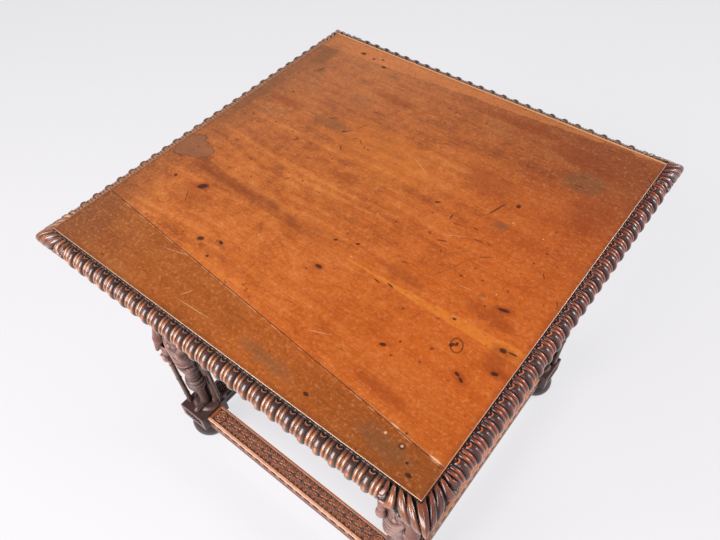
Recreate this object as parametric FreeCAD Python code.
import FreeCAD, Part
import math
import os
from FreeCAD import Matrix, Rotation, Vector

# Driving sizes of the table, in millimetres. Front is -Y, up is +Z, the origin is on the floor.
TABLE_HEIGHT = 760.0
FIELD_SIDE = 760.0
LEG_INSET = 79.0

# Fits and overruns
GLUE_GAP = 0.1
SOCKET_END_GAP = 1.0
CUT_OVERRUN = 5.0

# Top boards, their tapering joints and the loose tongues inside them
BOARD_THICK = 24.0
FRONT_BOARD_LEFT_WIDTH = 119.0
FRONT_BOARD_RIGHT_WIDTH = 50.0
BACK_BOARD_LEFT_START = 240.0
BACK_BOARD_RIGHT_START = 252.0
TONGUE_WIDTH = 20.0
TONGUE_THICK = 6.0
TONGUE_STOP = 14.0

# Gadrooned edge moulding, rebated for the boards
MOULD_DEPTH = 40.0
MOULD_FILLET = 3.0
ROLL_CENTRE_OUT = 8.0
ROLL_CENTRE_DOWN = 22.0
ROLL_INNER_RADIUS = 8.0
ROLL_HEART_OUT = 12.0
ROLL_HEART_HALF_HEIGHT = 10.0
VALLEY_RADIUS = 17.5
VALLEY_STEP = 0.6
LOBE_RADIUS = 21.0
REED_RADIUS = 19.5
LEAF_RADIUS = 20.0
LOBE_PITCH = 27.5
LOBE_WIDTH = 16.0
REED_PER_LOBE = 2
CORNER_LEAF_RUN = 50.0

# Loose keys across the mitres of the moulding
KEY_LENGTH = 36.0
KEY_WIDTH = 24.0
KEY_THICK = 3.0
KEY_ABOVE_UNDERSIDE = 5.0
KEY_INSIDE_FIELD = 8.0

# Apron rails under the top
APRON_HEIGHT = 80.0
APRON_THICK = 22.0
APRON_SETBACK = 6.0
APRON_TENON_LENGTH = 28.0
APRON_TENON_THICK = 9.0
APRON_TENON_SHOULDER = 10.0
APRON_BEAD_RADIUS = 4.0

# Plinth blocks under the figures
PLINTH_SIDE = 78.0
PLINTH_HEIGHT = 49.0
PLINTH_CHAMFER = 1.5
PANEL_BORDER = 9.0
PANEL_DEPTH = 1.5

# Bun feet
FOOT_HEIGHT = 72.0
FOOT_RADIUS = 44.0
FOOT_BASE_RADIUS = 27.0
FOOT_NECK_RADIUS = 27.0
FOOT_NECK_HEIGHT = 6.0
FOOT_SPIGOT_RADIUS = 11.0
FOOT_SPIGOT_LENGTH = 17.0

# Stretchers between the plinths
STRETCHER_WIDTH = 47.0
STRETCHER_DEPTH = 40.0
STRETCHER_DROP = 8.0
STRETCHER_BORDER = 7.0
STRETCHER_PANEL_DEPTH = 2.5
STRETCHER_TENON_LENGTH = 22.0
STRETCHER_TENON_THICK = 12.0
STRETCHER_TENON_SHOULDER = 6.0
BOSS_COUNT = 15
BOSS_RADIUS = 10.5
BOSS_HEIGHT = 1.8

# Pegs
PEG_RADIUS = 3.0
PEG_LENGTH = 34.0
APRON_PEG_COUNT = 2
TOP_PEG_RADIUS = 4.0
TOP_PEG_LENGTH = 54.0
TOP_PEG_INSET = 8.0

# Carved figure legs: a standing figure that carries a capital and a square block
BLOCK_HEIGHT = 96.0
FIGURE_SPIGOT_RADIUS = 12.0
FIGURE_SPIGOT_LENGTH = 19.0
STAFF_RADIUS = 6.5
CAPITAL_HEIGHT = 53.0
ABACUS_SIDE = 76.0
ABACUS_HEIGHT = 16.0
ECHINUS_RADIUS = 36.0
COLLAR_RADIUS = 21.0

# Figure sections as shares of the figure's height: height, side, back, half width, half depth.
# Side is towards the free hand, back is away from the face.
STAFF_LEG_SHARES = (
    (0.005, -0.014, 0.016, 0.024, 0.028),
    (0.080, -0.014, 0.018, 0.023, 0.025),
    (0.135, -0.014, 0.019, 0.034, 0.044),
    (0.200, -0.014, 0.020, 0.038, 0.056),
    (0.270, -0.014, 0.020, 0.038, 0.053),
    (0.320, -0.014, 0.022, 0.032, 0.040),
    (0.380, -0.012, 0.026, 0.033, 0.038),
    (0.540, -0.006, 0.024, 0.044, 0.046),
)
FREE_LEG_SHARES = (
    (0.005, 0.044, 0.022, 0.024, 0.028),
    (0.080, 0.044, 0.024, 0.023, 0.025),
    (0.135, 0.044, 0.025, 0.034, 0.042),
    (0.200, 0.043, 0.026, 0.038, 0.052),
    (0.270, 0.042, 0.026, 0.038, 0.050),
    (0.320, 0.040, 0.027, 0.032, 0.040),
    (0.380, 0.036, 0.028, 0.034, 0.038),
    (0.540, 0.028, 0.024, 0.044, 0.046),
)
CLOAK_SHARES = (
    (0.000, 0.014, 0.056, 0.058, 0.022),
    (0.250, 0.014, 0.056, 0.066, 0.022),
    (0.500, 0.010, 0.048, 0.072, 0.024),
    (0.790, 0.004, 0.026, 0.066, 0.022),
)
DRAPE_SHARES = (
    (0.375, 0.030, 0.010, 0.052, 0.058),
    (0.440, 0.022, 0.010, 0.064, 0.064),
    (0.520, 0.008, 0.008, 0.076, 0.062),
    (0.600, 0.004, 0.006, 0.058, 0.046),
)
TORSO_SHARES = (
    (0.520, 0.004, 0.008, 0.070, 0.054),
    (0.605, 0.004, 0.006, 0.056, 0.044),
    (0.700, 0.004, 0.004, 0.070, 0.052),
    (0.775, 0.004, 0.006, 0.074, 0.046),
    (0.825, 0.004, 0.006, 0.040, 0.034),
    (0.875, 0.004, 0.002, 0.028, 0.028),
)
SHOE_SHARES = (0.046, 0.023, 0.017)
SHOE_FORWARD_SHARE = 0.020
HEAD_SHARES = (0.004, -0.006, 0.928, 0.039, 0.046, 0.066)
NOSE_SHARES = (0.004, -0.052, 0.922, 0.006, 0.008, 0.014)
CAP_SHARES = (0.004, 0.000, 0.978, 0.050, 0.050, 0.024)
STAFF_TOP_SHARE = 0.489

# Arms as shares of the figure's height: shoulder, elbow, cuff and hand as side, back, height, radius
STAFF_ARM_SHARES = (
    (-0.062, 0.008, 0.785, 0.026),
    (-0.074, 0.008, 0.660, 0.027),
    (-0.068, -0.032, 0.550, 0.030),
    (-0.068, -0.035, 0.450, 0.024),
)
FREE_ARM_SHARES = (
    (0.070, 0.008, 0.785, 0.026),
    (0.080, 0.008, 0.660, 0.027),
    (0.074, -0.034, 0.555, 0.030),
    (0.072, -0.042, 0.490, 0.024),
)

# Sizes worked out from the ones above
HALF_FIELD = FIELD_SIDE / 2
LEG_AXIS = HALF_FIELD - LEG_INSET
HALF_PLINTH = PLINTH_SIDE / 2
PLINTH_TOP = FOOT_HEIGHT + PLINTH_HEIGHT
BOARD_UNDERSIDE = TABLE_HEIGHT - BOARD_THICK
BLOCK_BOTTOM = BOARD_UNDERSIDE - BLOCK_HEIGHT
ABACUS_BOTTOM = BLOCK_BOTTOM - ABACUS_HEIGHT
FIGURE_HEIGHT = ABACUS_BOTTOM - CAPITAL_HEIGHT - PLINTH_TOP
MOULD_LEDGE = LEG_INSET - HALF_PLINTH
LOBE_COUNT = int((FIELD_SIDE - 2 * CORNER_LEAF_RUN) / LOBE_PITCH)
CLEAR_SPAN = 2 * (LEG_AXIS - HALF_PLINTH)
STRETCHER_TOP = PLINTH_TOP - STRETCHER_DROP
STRETCHER_BOTTOM = STRETCHER_TOP - STRETCHER_DEPTH
APRON_LINE = LEG_AXIS + HALF_PLINTH - APRON_SETBACK - APRON_THICK / 2
ROLL_HEIGHT = TABLE_HEIGHT - ROLL_CENTRE_DOWN

X_AXIS = Vector(1, 0, 0)
Y_AXIS = Vector(0, 1, 0)
Z_AXIS = Vector(0, 0, 1)
ORIGIN = Vector(0, 0, 0)
HALF_TURN = 180.0
QUARTER_TURN = 90.0

# The front side comes first and each next side is a quarter turn on
SIDE_NAMES = ("front", "right", "back", "left")
# Each corner's side along X and along Y
CORNERS = (
    ("front_left", -1, -1),
    ("front_right", 1, -1),
    ("back_right", 1, 1),
    ("back_left", -1, 1),
)


def box(size_x, size_y, size_z, centre_x, centre_y, bottom):
    """A box given by its sizes, the centre of its plan and its lowest level."""
    corner = Vector(centre_x - size_x / 2, centre_y - size_y / 2, bottom)
    return Part.makeBox(size_x, size_y, size_z, corner)


def cylinder(radius, length, start, direction):
    """A round bar from its start point along a direction."""
    return Part.makeCylinder(radius, length, start, direction)


def prism(points, direction):
    """A flat outline of points pushed along a vector."""
    outline = Part.makePolygon(points + [points[0]])
    return Part.Face(outline).extrude(direction)


def fused(shapes):
    """One solid made of overlapping shapes, added one by one."""
    whole = shapes[0]
    for shape in shapes[1:]:
        whole = whole.fuse(shape)
    return whole.Solids[0]


def joined(shapes):
    """One solid made of overlapping shapes, without the seams between faces that run on."""
    return fused(shapes).removeSplitter().Solids[0]


def drilled(shape, tools):
    """The solid left when the tools are cut away."""
    return shape.cut(Part.makeCompound(tools)).Solids[0]


def turned_about_z(shape, degrees):
    """A copy turned about the table's upright axis."""
    copy = shape.copy()
    copy.rotate(ORIGIN, Z_AXIS, degrees)
    return copy


def at_corner(shape, side_x, side_y):
    """A copy of a front left leg piece, mirrored as needed and moved to its corner."""
    copy = shape.copy()
    if side_x > 0:
        copy = copy.mirror(ORIGIN, X_AXIS)
    if side_y > 0:
        copy = copy.mirror(ORIGIN, Y_AXIS)
    copy.translate(Vector(side_x * LEG_AXIS, side_y * LEG_AXIS, 0))
    return copy


def joint_ends(left_width, right_width):
    """Where a board joint meets the left and right edges of the field."""
    left = Vector(-HALF_FIELD, -HALF_FIELD + left_width, 0)
    right = Vector(HALF_FIELD, -HALF_FIELD + right_width, 0)
    return left, right


FRONT_JOINT = joint_ends(FRONT_BOARD_LEFT_WIDTH, FRONT_BOARD_RIGHT_WIDTH)
BACK_JOINT = joint_ends(BACK_BOARD_LEFT_START, BACK_BOARD_RIGHT_START)
FRONT_EDGE = joint_ends(0, 0)
BACK_EDGE = joint_ends(FIELD_SIDE, FIELD_SIDE)


def loose_tongue(joint, gap):
    """A thin strip along a board joint; its groove is the same strip with a gap all round."""
    left, right = joint
    run = right - left
    width = TONGUE_WIDTH + 2 * gap
    thick = TONGUE_THICK + 2 * gap
    level = TABLE_HEIGHT - (BOARD_THICK + thick) / 2
    strip = box(run.Length, width, thick, 0, 0, level)
    strip.rotate(ORIGIN, Z_AXIS, math.degrees(math.atan2(run.y, run.x)))
    strip.translate((left + right) / 2)
    room = FIELD_SIDE - 2 * (TONGUE_STOP - gap)
    return strip.common(box(room, room, thick, 0, 0, level))


def top_board(near, far, grooves, peg_bores):
    """One board between two joints, grooved for its tongues and bored for its pegs."""
    level = Vector(0, 0, BOARD_UNDERSIDE)
    outline = [near[0] + level, near[1] + level, far[1] + level, far[0] + level]
    board = prism(outline, Vector(0, 0, BOARD_THICK))
    return drilled(board, grooves + peg_bores)


def top_peg(side_x, side_y, gap):
    """A peg down through the top into the block of one leg."""
    reach = LEG_AXIS - TOP_PEG_INSET
    place = Vector(side_x * reach, side_y * reach, TABLE_HEIGHT)
    return cylinder(TOP_PEG_RADIUS + gap, TOP_PEG_LENGTH + gap, place, -Z_AXIS)


def top_peg_bores():
    """The bores of all four top pegs."""
    return [top_peg(side_x, side_y, GLUE_GAP) for name, side_x, side_y in CORNERS]


def crown(start, width, foot_radius, crown_radius):
    """An arc of the rolled outline: up from the valley to a crown and down again."""
    first = Vector(start, 0, foot_radius)
    middle = Vector(start + width / 2, 0, crown_radius)
    last = Vector(start + width, 0, foot_radius)
    return Part.Arc(first, middle, last).toShape()


def gadroon_outline(half_length):
    """The closed outline of the roll along its length: end leaf, lobes and reeds, end leaf."""
    reed_width = (LOBE_PITCH - LOBE_WIDTH) / REED_PER_LOBE
    first_lobe = -(LOBE_COUNT - 1) * LOBE_PITCH / 2 - LOBE_WIDTH / 2
    start = first_lobe - REED_PER_LOBE * reed_width
    end = -start
    inner_near = Vector(-half_length, 0, ROLL_INNER_RADIUS)
    inner_far = Vector(half_length, 0, ROLL_INNER_RADIUS)
    outer_near = Vector(-half_length, 0, LEAF_RADIUS)
    outer_far = Vector(half_length, 0, LEAF_RADIUS)
    leaf_near = Vector(start, 0, LEAF_RADIUS)
    leaf_far = Vector(end, 0, LEAF_RADIUS)
    edges = []
    edges.append(Part.makeLine(inner_near, outer_near))
    edges.append(Part.makeLine(outer_near, leaf_near))
    edges.append(Part.makeLine(leaf_near, Vector(start, 0, VALLEY_RADIUS)))
    place = start
    for unit in range(LOBE_COUNT):
        for reed in range(REED_PER_LOBE):
            edges.append(crown(place, reed_width, VALLEY_RADIUS, REED_RADIUS))
            place += reed_width
        edges.append(crown(place, LOBE_WIDTH, VALLEY_RADIUS, LOBE_RADIUS))
        place += LOBE_WIDTH
    for reed in range(REED_PER_LOBE):
        edges.append(crown(place, reed_width, VALLEY_RADIUS, REED_RADIUS))
        place += reed_width
    edges.append(Part.makeLine(Vector(place, 0, VALLEY_RADIUS), leaf_far))
    edges.append(Part.makeLine(leaf_far, outer_far))
    edges.append(Part.makeLine(outer_far, inner_far))
    edges.append(Part.makeLine(inner_far, inner_near))
    return Part.Wire(edges)


def mould_core(half_length):
    """The straight body of the moulding: ledge, rebate, top fillet and heart of the roll."""
    roll_face = -HALF_FIELD - ROLL_CENTRE_OUT
    underside = TABLE_HEIGHT - MOULD_DEPTH
    outline = [
        Vector(-half_length, -HALF_FIELD + MOULD_LEDGE, underside),
        Vector(-half_length, -HALF_FIELD + MOULD_LEDGE, BOARD_UNDERSIDE),
        Vector(-half_length, -HALF_FIELD, BOARD_UNDERSIDE),
        Vector(-half_length, -HALF_FIELD, TABLE_HEIGHT),
        Vector(-half_length, -HALF_FIELD - MOULD_FILLET, TABLE_HEIGHT),
        Vector(-half_length, roll_face, ROLL_HEIGHT + VALLEY_RADIUS - VALLEY_STEP),
        Vector(-half_length, roll_face - ROLL_HEART_OUT, ROLL_HEIGHT + ROLL_HEART_HALF_HEIGHT),
        Vector(-half_length, roll_face - ROLL_HEART_OUT, ROLL_HEIGHT - ROLL_HEART_HALF_HEIGHT),
        Vector(-half_length, roll_face, underside),
    ]
    return prism(outline, Vector(2 * half_length, 0, 0))


def mitre_wedge():
    """The quarter of the plan that belongs to the front side."""
    reach = HALF_FIELD + ROLL_CENTRE_OUT + LOBE_RADIUS + CUT_OVERRUN
    low = TABLE_HEIGHT - 2 * MOULD_DEPTH
    outline = [Vector(0, 0, low), Vector(-reach, -reach, low), Vector(reach, -reach, low)]
    return prism(outline, Vector(0, 0, 4 * MOULD_DEPTH))


def mitre_key(gap):
    """A flat key across the front left mitre; its slot is the same with a gap."""
    level = TABLE_HEIGHT - MOULD_DEPTH + KEY_ABOVE_UNDERSIDE - gap
    key = box(KEY_LENGTH + 2 * gap, KEY_WIDTH + 2 * gap, KEY_THICK + 2 * gap, 0, 0, level)
    key.rotate(ORIGIN, Z_AXIS, -QUARTER_TURN / 2)
    place = -HALF_FIELD + KEY_INSIDE_FIELD
    key.translate(Vector(place, place, 0))
    return key


def edge_moulding():
    """The front moulding, mitred at both ends and slotted for its keys."""
    half_length = HALF_FIELD + ROLL_CENTRE_OUT + LOBE_RADIUS + CUT_OVERRUN
    outline = gadroon_outline(half_length)
    outline.translate(Vector(0, -HALF_FIELD - ROLL_CENTRE_OUT, ROLL_HEIGHT))
    axis_point = Vector(0, -HALF_FIELD - ROLL_CENTRE_OUT, ROLL_HEIGHT)
    roll = Part.Face(outline).revolve(axis_point, X_AXIS, HALF_TURN)
    whole = joined([roll, mould_core(half_length)])
    mitred = whole.common(mitre_wedge())
    slots = [mitre_key(GLUE_GAP), turned_about_z(mitre_key(GLUE_GAP), QUARTER_TURN)]
    return drilled(mitred, slots)


def apron_tenon(side, gap):
    """The tenon at one end of the front apron; its mortise is the same with a gap."""
    length = APRON_TENON_LENGTH + (SOCKET_END_GAP if gap else 0)
    thick = APRON_TENON_THICK + 2 * gap
    height = APRON_HEIGHT - 2 * APRON_TENON_SHOULDER + 2 * gap
    centre = side * (CLEAR_SPAN + length) / 2
    bottom = BOARD_UNDERSIDE - APRON_HEIGHT + APRON_TENON_SHOULDER - gap
    return box(length, thick, height, centre, -APRON_LINE, bottom)


def apron_peg_places(side):
    """Where pegs enter the front face of a leg block to hold the apron tenon."""
    middle = BOARD_UNDERSIDE - APRON_HEIGHT / 2
    spread = (APRON_HEIGHT - 2 * APRON_TENON_SHOULDER) / 2
    across = side * (CLEAR_SPAN / 2 + APRON_TENON_LENGTH / 2)
    face = -(LEG_AXIS + HALF_PLINTH)
    steps = [index - (APRON_PEG_COUNT - 1) / 2 for index in range(APRON_PEG_COUNT)]
    return [Vector(across, face, middle + step * spread) for step in steps]


def apron():
    """The front apron rail with a tenon at each end and a bead along its lower edge."""
    bottom = BOARD_UNDERSIDE - APRON_HEIGHT
    rail = box(CLEAR_SPAN, APRON_THICK, APRON_HEIGHT, 0, -APRON_LINE, bottom)
    bead_line = Vector(-CLEAR_SPAN / 2, -APRON_LINE - APRON_THICK / 2, bottom + APRON_BEAD_RADIUS)
    bead = cylinder(APRON_BEAD_RADIUS, CLEAR_SPAN, bead_line, X_AXIS)
    rail = joined([rail, bead, apron_tenon(-1, 0), apron_tenon(1, 0)])
    bores = []
    for side in (-1, 1):
        bores += [peg_at(place, Y_AXIS, GLUE_GAP) for place in apron_peg_places(side)]
    return drilled(rail, bores)


def peg_at(place, direction, gap):
    """A round peg driven in at a place; its bore is the same with a gap."""
    return cylinder(PEG_RADIUS + gap, PEG_LENGTH + gap, place, direction)


def stretcher_tenon(side, gap):
    """The tenon at one end of the front stretcher; its mortise is the same with a gap."""
    length = STRETCHER_TENON_LENGTH + (SOCKET_END_GAP if gap else 0)
    thick = STRETCHER_TENON_THICK + 2 * gap
    height = STRETCHER_DEPTH - 2 * STRETCHER_TENON_SHOULDER + 2 * gap
    centre = side * (CLEAR_SPAN + length) / 2
    bottom = STRETCHER_BOTTOM + STRETCHER_TENON_SHOULDER - gap
    return box(length, thick, height, centre, -LEG_AXIS, bottom)


def stretcher_peg_place(side):
    """Where a peg enters the front face of a plinth to hold the stretcher tenon."""
    across = side * (CLEAR_SPAN / 2 + STRETCHER_TENON_LENGTH / 2)
    return Vector(across, -(LEG_AXIS + HALF_PLINTH), (STRETCHER_TOP + STRETCHER_BOTTOM) / 2)


def stretcher():
    """The front stretcher: a sunk top panel with a row of carved bosses, and two tenons."""
    bar = box(CLEAR_SPAN, STRETCHER_WIDTH, STRETCHER_DEPTH, 0, -LEG_AXIS, STRETCHER_BOTTOM)
    panel_length = CLEAR_SPAN - 2 * STRETCHER_BORDER
    panel_width = STRETCHER_WIDTH - 2 * STRETCHER_BORDER
    panel_floor = STRETCHER_TOP - STRETCHER_PANEL_DEPTH
    panel = box(panel_length, panel_width, CUT_OVERRUN, 0, -LEG_AXIS, panel_floor)
    carved = drilled(joined([bar, stretcher_tenon(-1, 0), stretcher_tenon(1, 0)]), [panel])
    pitch = panel_length / BOSS_COUNT
    bosses = []
    for index in range(BOSS_COUNT):
        along = (index - (BOSS_COUNT - 1) / 2) * pitch
        foot = Vector(along, -LEG_AXIS, panel_floor - BOSS_HEIGHT)
        bosses.append(cylinder(BOSS_RADIUS, 2 * BOSS_HEIGHT, foot, Z_AXIS))
    bores = [peg_at(stretcher_peg_place(side), Y_AXIS, GLUE_GAP) for side in (-1, 1)]
    return drilled(joined([carved] + bosses), bores)


def corner_sockets(tenon, peg_places):
    """Mortises and peg bores at the front left corner, for the front rail and the left one."""
    front = [tenon(-1, GLUE_GAP)] + [peg_at(place, Y_AXIS, GLUE_GAP) for place in peg_places(-1)]
    other = [tenon(1, GLUE_GAP)] + [peg_at(place, Y_AXIS, GLUE_GAP) for place in peg_places(1)]
    left = [turned_about_z(tool, -QUARTER_TURN) for tool in other]
    tools = front + left
    for tool in tools:
        tool.translate(Vector(LEG_AXIS, LEG_AXIS, 0))
    return tools


def plinth():
    """The front left plinth, about its own axis: sunk panels, mortises and two bores."""
    block = box(PLINTH_SIDE, PLINTH_SIDE, PLINTH_HEIGHT, 0, 0, FOOT_HEIGHT)
    block = block.makeChamfer(PLINTH_CHAMFER, block.Edges)
    panel_width = PLINTH_SIDE - 2 * PANEL_BORDER
    panel_height = PLINTH_HEIGHT - 2 * PANEL_BORDER
    sunk = 2 * PANEL_DEPTH
    level = FOOT_HEIGHT + PANEL_BORDER
    tools = [
        box(panel_width, sunk, panel_height, 0, -HALF_PLINTH, level),
        box(sunk, panel_width, panel_height, -HALF_PLINTH, 0, level),
        figure_spigot(GLUE_GAP),
        foot_spigot(GLUE_GAP),
    ]
    tools += corner_sockets(stretcher_tenon, lambda side: [stretcher_peg_place(side)])
    return drilled(block, tools)


def figure_spigot(gap):
    """The round spigot under a figure; its bore is the same with a gap."""
    length = FIGURE_SPIGOT_LENGTH + (SOCKET_END_GAP if gap else 0)
    start = Vector(0, 0, PLINTH_TOP - length)
    return cylinder(FIGURE_SPIGOT_RADIUS + gap, length + CUT_OVERRUN, start, Z_AXIS)


def foot_spigot(gap):
    """The round spigot on top of a foot; its bore is the same with a gap."""
    length = FOOT_SPIGOT_LENGTH + (SOCKET_END_GAP if gap else 0)
    start = Vector(0, 0, FOOT_HEIGHT - CUT_OVERRUN)
    return cylinder(FOOT_SPIGOT_RADIUS + gap, length + CUT_OVERRUN, start, Z_AXIS)


def bun_foot():
    """A turned bun foot with a short neck and a spigot."""
    bun_height = FOOT_HEIGHT - FOOT_NECK_HEIGHT
    half_bulge = bun_height / 2
    base = Vector(FOOT_BASE_RADIUS, 0, 0)
    widest = Vector(FOOT_RADIUS, 0, half_bulge)
    shoulder = Vector(FOOT_NECK_RADIUS, 0, bun_height)
    neck = Vector(FOOT_NECK_RADIUS, 0, FOOT_HEIGHT)
    edges = [
        Part.makeLine(ORIGIN, base),
        Part.Arc(base, widest, shoulder).toShape(),
        Part.makeLine(shoulder, neck),
        Part.makeLine(neck, Vector(0, 0, FOOT_HEIGHT)),
        Part.makeLine(Vector(0, 0, FOOT_HEIGHT), ORIGIN),
    ]
    bun = Part.Face(Part.Wire(edges)).revolve(ORIGIN, Z_AXIS, 2 * HALF_TURN)
    return joined([bun, foot_spigot(0)])


def stretched(shape, scales, place):
    """A unit shape scaled along the three axes and moved to its place."""
    matrix = Matrix()
    matrix.scale(*scales)
    matrix.move(place)
    return shape.transformGeometry(matrix)


def egg(shares):
    """An egg-shaped solid from its centre and half sizes as shares of the figure."""
    side, back, height, half_width, half_depth, half_height = [share * FIGURE_HEIGHT for share in shares]
    place = Vector(side, back, PLINTH_TOP + height)
    return stretched(Part.makeSphere(1), (half_width, half_depth, half_height), place)


def body_loft(section_shares):
    """A smooth solid through level ellipses given as shares of the figure."""
    unit_circle = Part.Wire(Part.makeCircle(1))
    wires = []
    for row in section_shares:
        height, side, back, half_width, half_depth = [share * FIGURE_HEIGHT for share in row]
        place = Vector(side, back, PLINTH_TOP + height)
        wires.append(stretched(unit_circle, (half_width, half_depth, 1), place))
    return Part.makeLoft(wires, True, True)


def ball(shares):
    """A ball from its centre and radius as shares of the figure."""
    side, back, height, radius = [share * FIGURE_HEIGHT for share in shares]
    return Part.makeSphere(radius, Vector(side, back, PLINTH_TOP + height))


def limb(first_shares, last_shares):
    """A tapering round limb between two joints."""
    first = Vector(*[share * FIGURE_HEIGHT for share in first_shares[:3]])
    last = Vector(*[share * FIGURE_HEIGHT for share in last_shares[:3]])
    first_radius = first_shares[3] * FIGURE_HEIGHT
    last_radius = last_shares[3] * FIGURE_HEIGHT
    run = last - first
    return Part.makeCone(first_radius, last_radius, run.Length, first + Vector(0, 0, PLINTH_TOP), run)


def arm(joint_shares):
    """A bent arm: balls at the shoulder, elbow, cuff and hand, with tapering limbs between them."""
    balls = [ball(joint) for joint in joint_shares]
    limbs = [limb(first, last) for first, last in zip(joint_shares, joint_shares[1:])]
    return balls + limbs


def shoe(leg_shares):
    """A low shoe in front of an ankle, flat on the plinth."""
    ankle = leg_shares[0]
    half_length, half_width, half_height = SHOE_SHARES
    shares = (ankle[1], ankle[2] - SHOE_FORWARD_SHARE, half_height / 2, half_width, half_length, half_height)
    above = box(PLINTH_SIDE, PLINTH_SIDE, FIGURE_HEIGHT, 0, 0, PLINTH_TOP)
    return egg(shares).common(above).Solids[0]


def staff():
    """The upright staff, from the plinth up into the hand that holds it."""
    hand = STAFF_ARM_SHARES[-1]
    foot = Vector(hand[0] * FIGURE_HEIGHT, hand[1] * FIGURE_HEIGHT, PLINTH_TOP)
    return cylinder(STAFF_RADIUS, STAFF_TOP_SHARE * FIGURE_HEIGHT, foot, Z_AXIS)


def capital():
    """The cap of the head swelling into a round cushion and a square slab."""
    crown_level = PLINTH_TOP + FIGURE_HEIGHT
    profile = [
        Vector(0, 0, crown_level - COLLAR_RADIUS),
        Vector(COLLAR_RADIUS, 0, crown_level - COLLAR_RADIUS),
        Vector(ECHINUS_RADIUS, 0, ABACUS_BOTTOM),
        Vector(0, 0, ABACUS_BOTTOM),
    ]
    middle_level = (crown_level + ABACUS_BOTTOM) / 2
    hollow_side = Vector((COLLAR_RADIUS * 2 + ECHINUS_RADIUS) / 3, 0, middle_level)
    edges = [
        Part.makeLine(profile[0], profile[1]),
        Part.Arc(profile[1], hollow_side, profile[2]).toShape(),
        Part.makeLine(profile[2], profile[3]),
        Part.makeLine(profile[3], profile[0]),
    ]
    bell = Part.Face(Part.Wire(edges)).revolve(ORIGIN, Z_AXIS, 2 * HALF_TURN)
    slab = box(ABACUS_SIDE, ABACUS_SIDE, ABACUS_HEIGHT, 0, 0, ABACUS_BOTTOM)
    return [bell, slab]


def figure_leg():
    """The front left leg about its own axis, facing the front with its staff on the outside."""
    pieces = [body_loft(TORSO_SHARES), body_loft(DRAPE_SHARES), body_loft(CLOAK_SHARES)]
    for leg_shares in (STAFF_LEG_SHARES, FREE_LEG_SHARES):
        pieces.append(body_loft(leg_shares))
        pieces.append(shoe(leg_shares))
    pieces += arm(STAFF_ARM_SHARES) + arm(FREE_ARM_SHARES)
    pieces += [egg(HEAD_SHARES), egg(NOSE_SHARES), egg(CAP_SHARES)]
    pieces += capital() + [staff(), figure_spigot(0)]
    peg_bore = top_peg(-1, -1, GLUE_GAP)
    peg_bore.translate(Vector(LEG_AXIS, LEG_AXIS, 0))
    block = box(PLINTH_SIDE, PLINTH_SIDE, BLOCK_HEIGHT, 0, 0, BLOCK_BOTTOM)
    sockets = corner_sockets(apron_tenon, apron_peg_places)
    pieces.append(drilled(block, sockets + [peg_bore]))
    return fused(pieces)


def pegs_around(places):
    """One peg at each place of the front side, repeated on all four sides."""
    front = [peg_at(place, Y_AXIS, 0) for place in places]
    return [turned_about_z(peg, turn * QUARTER_TURN) for turn in range(len(SIDE_NAMES)) for peg in front]


def build_top():
    """The boards, tongues, mouldings, keys and pegs of the top."""
    front_groove = loose_tongue(FRONT_JOINT, GLUE_GAP)
    back_groove = loose_tongue(BACK_JOINT, GLUE_GAP)
    bores = top_peg_bores()
    nodes = {
        "top_board_front": top_board(FRONT_EDGE, FRONT_JOINT, [front_groove], bores),
        "top_board_middle": top_board(FRONT_JOINT, BACK_JOINT, [front_groove, back_groove], bores),
        "top_board_back": top_board(BACK_JOINT, BACK_EDGE, [back_groove], bores),
        "board_tongue_front": loose_tongue(FRONT_JOINT, 0),
        "board_tongue_back": loose_tongue(BACK_JOINT, 0),
    }
    nodes["top_pegs"] = Part.makeCompound([top_peg(side_x, side_y, 0) for name, side_x, side_y in CORNERS])
    keys = [turned_about_z(mitre_key(0), turn * QUARTER_TURN) for turn in range(len(SIDE_NAMES))]
    nodes["mitre_keys"] = Part.makeCompound(keys)
    return nodes


def build_sides():
    """The pieces that repeat on the four sides."""
    nodes = {}
    makers = {"edge_moulding": edge_moulding(), "apron": apron(), "stretcher": stretcher()}
    for kind, shape in makers.items():
        for turn, side in enumerate(SIDE_NAMES):
            nodes[kind + "_" + side] = turned_about_z(shape, turn * QUARTER_TURN)
    apron_places = apron_peg_places(-1) + apron_peg_places(1)
    nodes["apron_pegs"] = Part.makeCompound(pegs_around(apron_places))
    stretcher_places = [stretcher_peg_place(-1), stretcher_peg_place(1)]
    nodes["stretcher_pegs"] = Part.makeCompound(pegs_around(stretcher_places))
    return nodes


def build_corners():
    """The figure, plinth and foot of each corner."""
    nodes = {}
    makers = {"figure_leg": figure_leg(), "plinth": plinth(), "bun_foot": bun_foot()}
    for kind, shape in makers.items():
        for corner, side_x, side_y in CORNERS:
            nodes[kind + "_" + corner] = at_corner(shape, side_x, side_y)
    return nodes


def main():
    """Write every piece of the table to its own file."""
    os.makedirs("parts", exist_ok=True)
    nodes = {}
    nodes.update(build_top())
    nodes.update(build_sides())
    nodes.update(build_corners())
    for name, shape in nodes.items():
        shape.exportStep("parts/" + name + ".step")
    print(len(nodes), "nodes written")


main()
